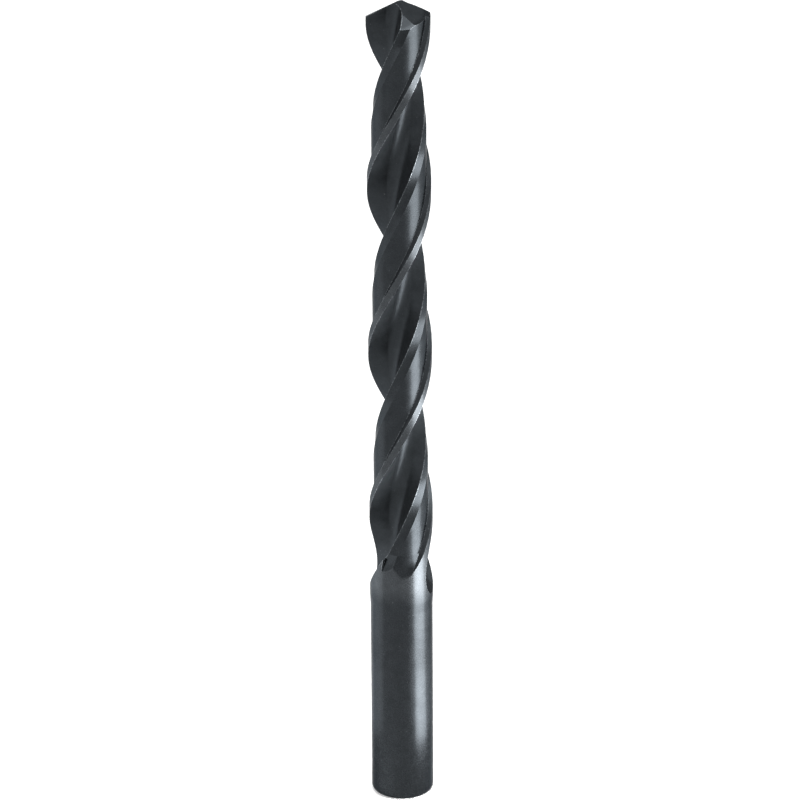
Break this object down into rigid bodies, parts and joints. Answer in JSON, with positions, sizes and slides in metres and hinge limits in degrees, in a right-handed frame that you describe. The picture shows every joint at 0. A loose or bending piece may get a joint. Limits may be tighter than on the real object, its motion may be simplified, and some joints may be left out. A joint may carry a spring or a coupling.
{
  "type": "twist drill bit",
  "caption": "Slender steel drill bit with a plain round shank, twin right-hand spiral flutes and a conical split-lip point, standing on its shank end.",
  "frame": {"origin": "middle of the flat shank end, which is the lowest plane of the drill", "axes": "+Z along the drill's axis from the shank end to the point; +X and -X along the two cutting lips"},
  "size_m": [0.0096, 0.0096, 0.127],
  "materials": {
    "steel": "black oxide over ground steel, satin, with brighter worn edges"
  },
  "bodies": {
    "root": {"twist_drill": "steel"}
  },
  "joints": []
}
